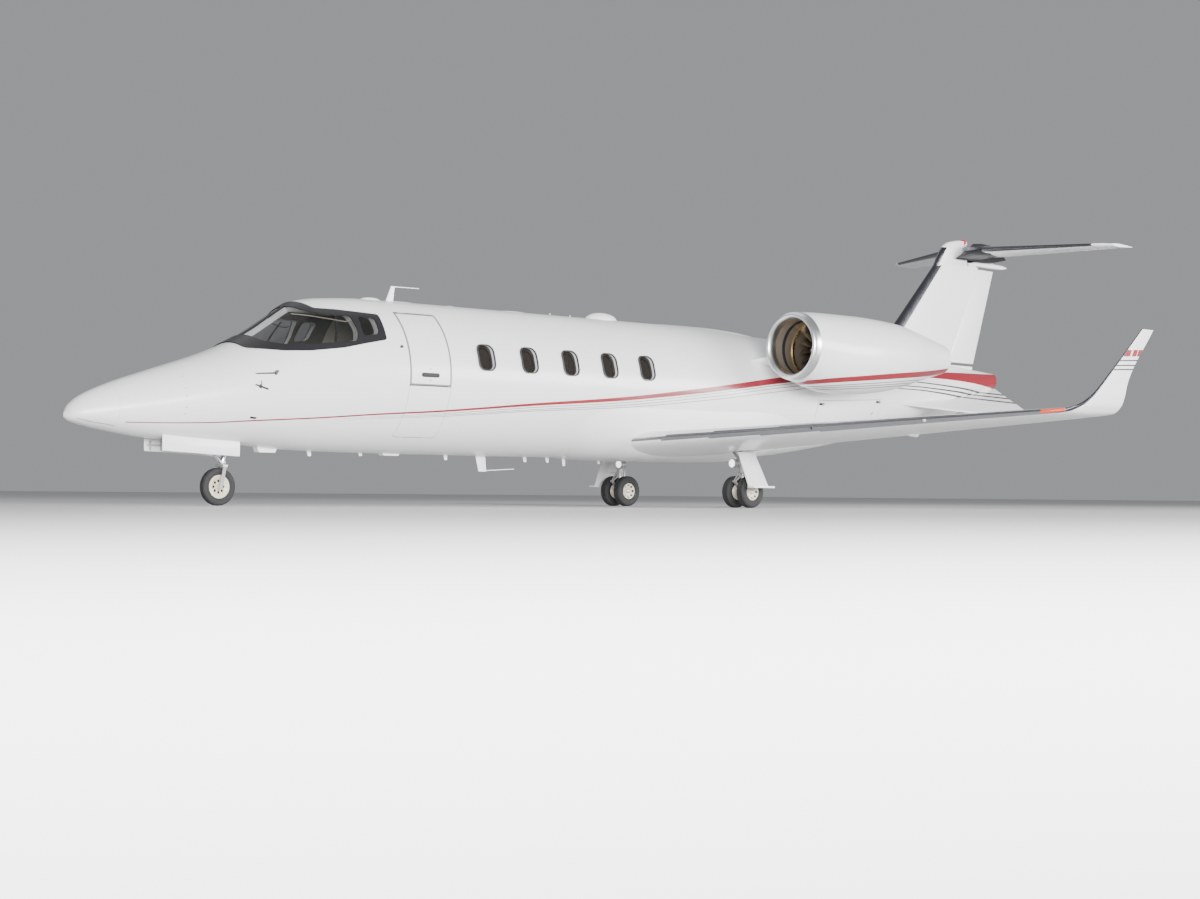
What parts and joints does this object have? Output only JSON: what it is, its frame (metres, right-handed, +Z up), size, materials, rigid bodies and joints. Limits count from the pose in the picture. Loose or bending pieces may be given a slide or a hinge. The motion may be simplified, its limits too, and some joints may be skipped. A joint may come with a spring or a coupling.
{
  "type": "business jet",
  "caption": "Business jet on its gear: hollow cabin, clamshell entry door, baggage door, winglets, rear engine pods, trimming tailplane, hinged control surfaces, steering and turning wheels.",
  "frame": {"origin": "on the ground, below the middle of the length and of the width", "axes": "+X aft along the fuselage, +Y towards the right wing, +Z up"},
  "size_m": [17.88, 13.3704, 4.468],
  "materials": {
    "white_paint": "gloss white paint on aluminium skin",
    "polished_lip": "polished bare metal",
    "gear_metal": "bare steel leg",
    "engine_metal": "bare titanium and nickel alloy",
    "wheel_enamel": "cream enamel",
    "tyre": "black rubber",
    "tinted_glass": "tinted pane",
    "dark_trim": "matt black",
    "tan_leather": "tan leather over foam",
    "carpet": "carpet on a light floor panel"
  },
  "bodies": {
    "airframe": {"radome": "white_paint", "nose_section": "white_paint", "cockpit_shell": "white_paint", "cabin_shell": "white_paint", "tail_section": "white_paint", "belly_fairing": "white_paint", "wing_left": "white_paint", "wing_right": "white_paint", "fin": "white_paint", "delta_fin_left": "white_paint", "delta_fin_right": "white_paint", "nacelle_left": "white_paint", "nacelle_right": "white_paint", "pylon_left": "white_paint", "pylon_right": "white_paint", "nose_gear_door_left": "white_paint", "nose_gear_door_right": "white_paint", "strut_door_left": "white_paint", "strut_door_right": "white_paint", "inlet_lip_left": "polished_lip", "inlet_lip_right": "polished_lip", "nose_leg": "gear_metal", "main_leg_left": "gear_metal", "main_leg_right": "gear_metal", "engine_left": "engine_metal", "engine_right": "engine_metal", "windshield_left": "tinted_glass", "windshield_right": "tinted_glass", "cabin_windows_left": "tinted_glass", "cabin_windows_right": "tinted_glass", "instrument_panel": "dark_trim", "pilot_seat_left": "tan_leather", "pilot_seat_right": "tan_leather", "club_seats_left": "tan_leather", "club_seats_right": "tan_leather", "cabin_floor": "carpet"},
    "nose_steering": {"nose_fork": "gear_metal"},
    "nose_wheels": {"nose_wheel": "wheel_enamel", "nose_tyre": "tyre"},
    "wheels_left": {"main_wheels_left": "wheel_enamel", "main_tyre_left_inner": "tyre", "main_tyre_left_outer": "tyre"},
    "wheels_right": {"main_wheels_right": "wheel_enamel", "main_tyre_right_inner": "tyre", "main_tyre_right_outer": "tyre"},
    "fan_rotor_left": {"fan_left": "engine_metal"},
    "fan_rotor_right": {"fan_right": "engine_metal"},
    "upper_door_leaf": {"door_upper": "white_paint"},
    "lower_door_leaf": {"door_lower": "white_paint"},
    "baggage_leaf": {"baggage_door": "white_paint"},
    "left_flap": {"flap_left": "white_paint"},
    "right_flap": {"flap_right": "white_paint"},
    "left_aileron": {"aileron_left": "white_paint"},
    "right_aileron": {"aileron_right": "white_paint"},
    "left_spoiler": {"spoiler_left": "white_paint"},
    "right_spoiler": {"spoiler_right": "white_paint"},
    "rudder_body": {"rudder": "white_paint"},
    "stabiliser": {"tailplane": "white_paint"},
    "left_elevator": {"elevator_left": "white_paint"},
    "right_elevator": {"elevator_right": "white_paint"}
  },
  "joints": [
    {"name": "nose_steering", "type": "hinge", "parent": "airframe", "child": "nose_steering", "pos_m": [-6.93, 0, 0.225], "axis": [0.2044, 0, 0.9789], "range_deg": [-60, 60]},
    {"name": "nose_wheel_spin", "type": "hinge", "parent": "nose_steering", "child": "nose_wheels", "pos_m": [-6.93, 0, 0.225], "axis": [0, 1, 0], "continuous": true},
    {"name": "main_wheels_left_spin", "type": "hinge", "parent": "airframe", "child": "wheels_left", "pos_m": [0.78, -1.255, 0.222], "axis": [0, 1, 0], "continuous": true},
    {"name": "main_wheels_right_spin", "type": "hinge", "parent": "airframe", "child": "wheels_right", "pos_m": [0.78, 1.255, 0.222], "axis": [0, 1, 0], "continuous": true},
    {"name": "fan_left_spin", "type": "hinge", "parent": "airframe", "child": "fan_rotor_left", "pos_m": [2.08, -1.53, 2.255], "axis": [1, 0, 0], "continuous": true},
    {"name": "fan_right_spin", "type": "hinge", "parent": "airframe", "child": "fan_rotor_right", "pos_m": [2.08, 1.53, 2.255], "axis": [1, 0, 0], "continuous": true},
    {"name": "door_upper_hinge", "type": "hinge", "parent": "airframe", "child": "upper_door_leaf", "pos_m": [-4.807, -0.567, 2.42], "axis": [-1, 0, 0], "range_deg": [0, 85]},
    {"name": "door_lower_hinge", "type": "hinge", "parent": "airframe", "child": "lower_door_leaf", "pos_m": [-4.807, -0.5805, 0.854], "axis": [1, 0, 0], "range_deg": [0, 100]},
    {"name": "baggage_door_hinge", "type": "hinge", "parent": "airframe", "child": "baggage_leaf", "pos_m": [2.72, -0.68612, 1.044], "axis": [0.988, 0.0241, 0.1525], "range_deg": [0, 100]},
    {"name": "flap_left_hinge", "type": "hinge", "parent": "airframe", "child": "left_flap", "pos_m": [1.08431, -1.02, 0.86704], "axis": [-0.1925, 0.9788, -0.0705], "range_deg": [0, 40]},
    {"name": "flap_right_hinge", "type": "hinge", "parent": "airframe", "child": "right_flap", "pos_m": [1.08431, 1.02, 0.86704], "axis": [0.1925, 0.9788, 0.0705], "range_deg": [0, 40]},
    {"name": "aileron_left_hinge", "type": "hinge", "parent": "airframe", "child": "left_aileron", "pos_m": [1.65468, -3.92, 1.076], "axis": [-0.1933, 0.9786, -0.0707], "range_deg": [-18, 18]},
    {"name": "aileron_right_hinge", "type": "hinge", "parent": "airframe", "child": "right_aileron", "pos_m": [1.65468, 3.92, 1.076], "axis": [0.1933, 0.9786, 0.0707], "range_deg": [-18, 18]},
    {"name": "spoiler_left_hinge", "type": "hinge", "parent": "airframe", "child": "left_spoiler", "pos_m": [0.8482, -2.05, 1.05565], "axis": [0.2448, -0.9682, 0.0523], "range_deg": [0, 45]},
    {"name": "spoiler_right_hinge", "type": "hinge", "parent": "airframe", "child": "right_spoiler", "pos_m": [0.8482, 2.05, 1.05565], "axis": [-0.2448, -0.9682, -0.0523], "range_deg": [0, 45]},
    {"name": "rudder_hinge", "type": "hinge", "parent": "airframe", "child": "rudder_body", "pos_m": [6.95243, 0, 2.4], "axis": [0.4544, 0, 0.8908], "range_deg": [-30, 30]},
    {"name": "tailplane_trim", "type": "hinge", "parent": "airframe", "child": "stabiliser", "pos_m": [8.16, 0, 4.205], "axis": [0, 1, 0], "range_deg": [-6, 1.5]},
    {"name": "elevator_left_hinge", "type": "hinge", "parent": "stabiliser", "child": "left_elevator", "pos_m": [8.11518, -0.28, 4.25796], "axis": [-0.2916, 0.9565, -0.0117], "range_deg": [-15, 15]},
    {"name": "elevator_right_hinge", "type": "hinge", "parent": "stabiliser", "child": "right_elevator", "pos_m": [8.11518, 0.28, 4.25796], "axis": [0.2916, 0.9565, 0.0117], "range_deg": [-15, 15]}
  ],
  "couplings": [
    {"joint": "flap_right_hinge", "follows": "flap_left_hinge", "ratio": 1},
    {"joint": "aileron_right_hinge", "follows": "aileron_left_hinge", "ratio": -1},
    {"joint": "spoiler_right_hinge", "follows": "spoiler_left_hinge", "ratio": 1},
    {"joint": "elevator_right_hinge", "follows": "elevator_left_hinge", "ratio": 1}
  ]
}
